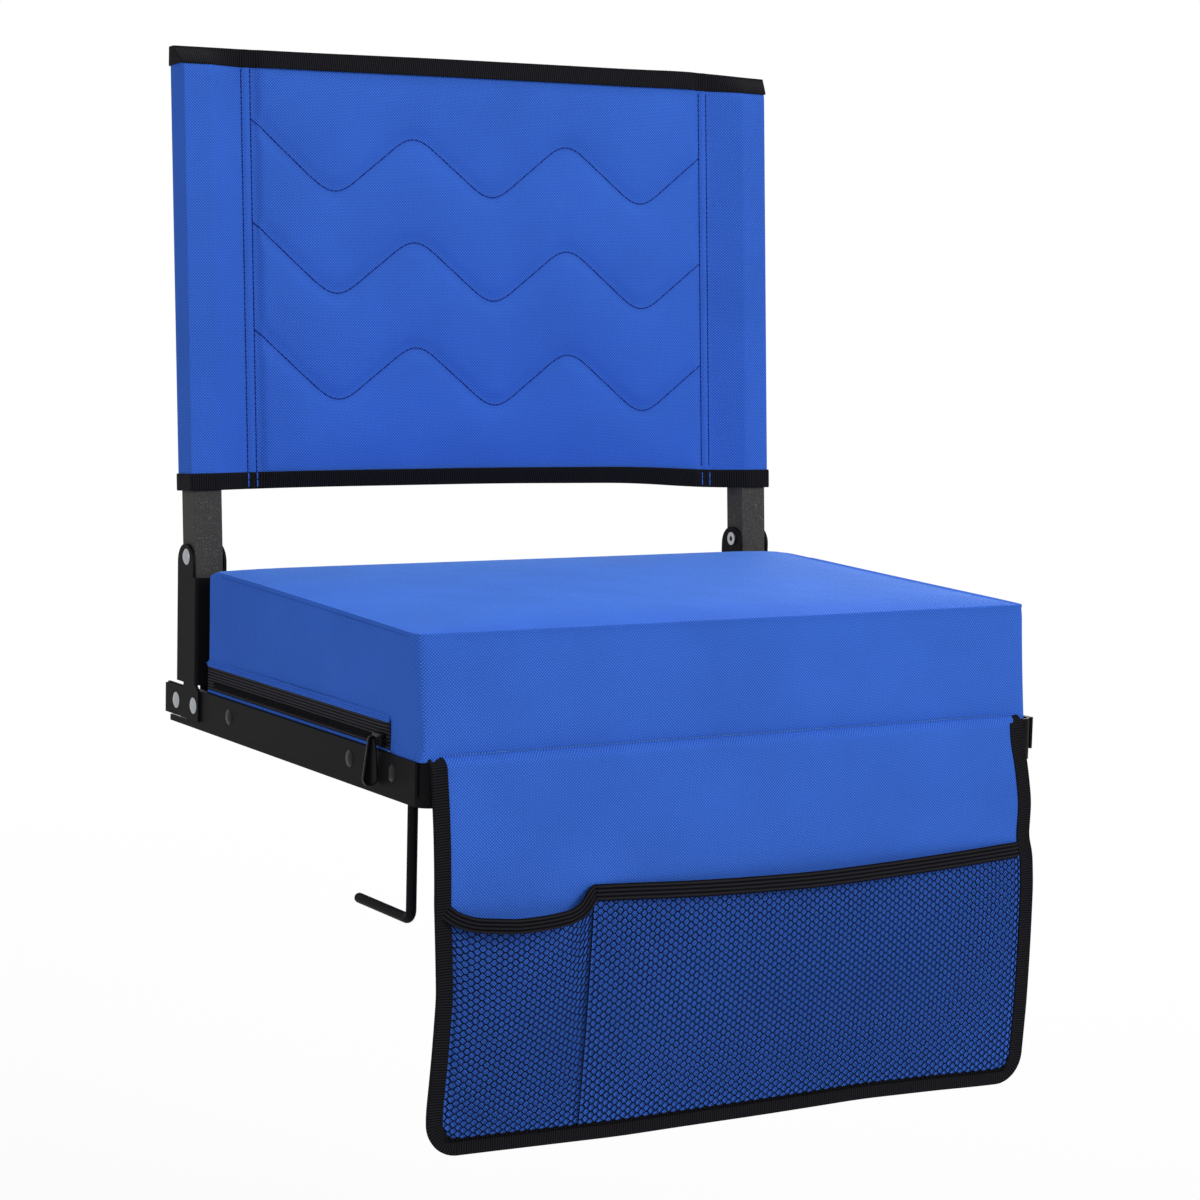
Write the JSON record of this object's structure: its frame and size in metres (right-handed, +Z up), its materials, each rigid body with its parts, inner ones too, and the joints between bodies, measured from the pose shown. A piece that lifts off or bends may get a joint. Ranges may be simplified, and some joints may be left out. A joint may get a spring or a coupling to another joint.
{
  "type": "stadium seat",
  "caption": "Folding bleacher seat: padded cushion on a riveted steel frame, hinged padded back on square posts, swinging bench hooks and a hanging front flap with net pockets.",
  "frame": {"origin": "on the bench, in the middle of the rear rail's underside", "axes": "+Z up, the sitter faces -Y, +X to the right seen from the front"},
  "size_m": [0.5255, 0.4267, 0.7379],
  "materials": {
    "black_steel": "matte",
    "zinc_steel": "satin",
    "black_rivet": "satin",
    "blue_canvas": "matte",
    "black_webbing": "matte",
    "black_net": "matte",
    "foam": "matte",
    "plywood": "matte",
    "black_plastic": "matte",
    "zip_coil": "satin",
    "zip_metal": "satin"
  },
  "bodies": {
    "frame": {"front_rail": "black_steel", "rear_rail": "black_steel", "side_rail_left": "black_steel", "side_rail_right": "black_steel", "side_plate_left": "black_steel", "side_plate_right": "black_steel", "front_strap": "black_steel", "rear_strap": "black_steel", "hook_clip_left": "black_steel", "hook_clip_right": "black_steel", "plate_rivets": "black_rivet", "bracket_rivets": "zinc_steel", "hinge_bracket_left": "black_steel", "hinge_bracket_right": "black_steel", "hinge_rivet_left": "zinc_steel", "hinge_rivet_right": "zinc_steel", "base_board": "plywood", "board_screws": "zinc_steel", "cushion_foam": "foam", "cushion_cover": "blue_canvas", "zipper_tape": "black_webbing", "zipper_coil": "zip_coil"},
    "backrest": {"post_left": "black_steel", "post_right": "black_steel", "post_caps": "black_plastic", "post_foot_plugs": "black_plastic", "back_cover": "blue_canvas", "back_foam": "foam", "back_binding_top": "black_webbing", "back_binding_bottom": "black_webbing"},
    "hook_left": {"hook_left": "black_steel"},
    "hook_right": {"hook_right": "black_steel"},
    "zipper_slider": {"zipper_slider": "zip_metal"},
    "zipper_pull": {"zipper_pull": "zip_metal"},
    "flap": {"flap_sheet": "blue_canvas", "flap_binding": "black_webbing", "pocket_net_left": "black_net", "pocket_net_right": "black_net", "pocket_trim_left": "black_webbing", "pocket_trim_right": "black_webbing"}
  },
  "joints": [
    {"name": "backrest_fold", "type": "hinge", "parent": "frame", "child": "backrest", "pos_m": [0, -0.0265, 0.1275], "axis": [1, 0, 0], "range_deg": [0, 85]},
    {"name": "hook_left_swing", "type": "hinge", "parent": "frame", "child": "hook_left", "pos_m": [-0.2449, -0.33, 0.008], "axis": [0, -1, 0], "range_deg": [0, 90]},
    {"name": "hook_right_swing", "type": "hinge", "parent": "frame", "child": "hook_right", "pos_m": [0.2449, -0.33, 0.008], "axis": [0, 1, 0], "range_deg": [0, 90]},
    {"name": "zipper_slide", "type": "slide", "parent": "frame", "child": "zipper_slider", "axis": [0, 1, 0], "range_m": [-0.003, 0.261]},
    {"name": "zipper_pull_swing", "type": "hinge", "parent": "zipper_slider", "child": "zipper_pull", "pos_m": [-0.2585, -0.3375, 0.03725], "axis": [0, 1, 0], "range_deg": [0, 110]},
    {"name": "flap_lift", "type": "hinge", "parent": "frame", "child": "flap", "pos_m": [0, -0.3981, 0.033], "axis": [-1, 0, 0], "range_deg": [0, 90]}
  ]
}
